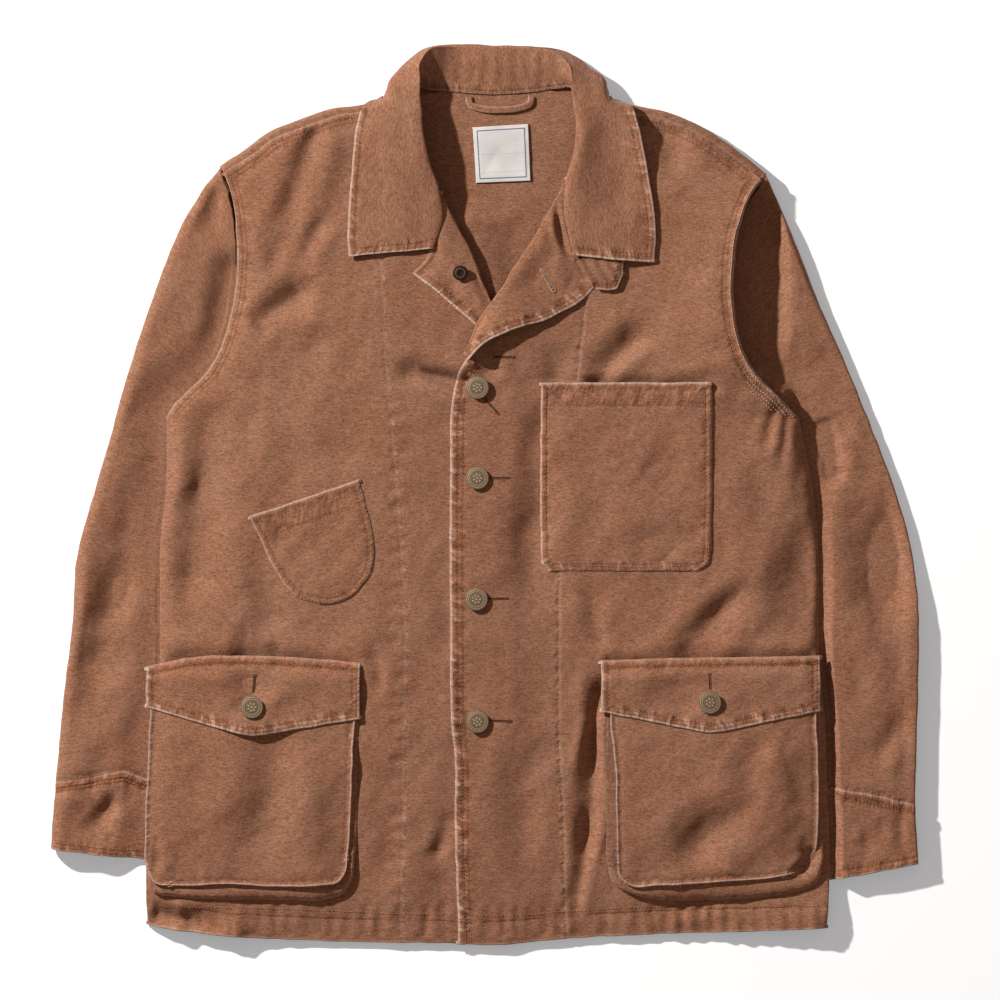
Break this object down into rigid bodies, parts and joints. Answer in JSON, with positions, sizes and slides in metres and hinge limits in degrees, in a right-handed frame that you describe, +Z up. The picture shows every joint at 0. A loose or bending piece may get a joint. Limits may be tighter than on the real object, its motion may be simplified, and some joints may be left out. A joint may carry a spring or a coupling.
{
  "type": "chore jacket",
  "caption": "Work jacket in washed canvas, laid flat and buttoned, with turned-back lapels, patch pockets on the chest and front, and flapped bellows pockets at the hips.",
  "frame": {"origin": "centre of the jacket's outline, on the surface that it lies on", "axes": "+X across the body to the wearer's left, +Y from hem to collar, +Z up out of the front"},
  "size_m": [0.7633, 0.791, 0.0293],
  "materials": {
    "canvas": "heavy cotton canvas, washed and worn pale along its seams",
    "antique_brass": "antiqued, dull in the hollows",
    "label": "smooth woven label with a dark border"
  },
  "bodies": {
    "root": {"back_panel": "canvas", "front_side_right": "canvas", "front_side_left": "canvas", "front_centre_right": "canvas", "front_centre_left": "canvas", "facing_right": "canvas", "facing_left": "canvas", "collar": "canvas", "throat_tab": "canvas", "sleeve_right": "canvas", "sleeve_left": "canvas", "cuff_right": "canvas", "cuff_left": "canvas", "chest_pocket": "canvas", "watch_pocket": "canvas", "cargo_pocket_right": "canvas", "cargo_gusset_right": "canvas", "cargo_flap_right": "canvas", "cargo_pocket_left": "canvas", "cargo_gusset_left": "canvas", "cargo_flap_left": "canvas", "hanger_loop": "canvas", "neck_label": "label", "button_1": "antique_brass", "button_2": "antique_brass", "button_3": "antique_brass", "button_4": "antique_brass", "flap_button_right": "antique_brass", "flap_button_left": "antique_brass", "lapel_rivet": "antique_brass"}
  },
  "joints": []
}
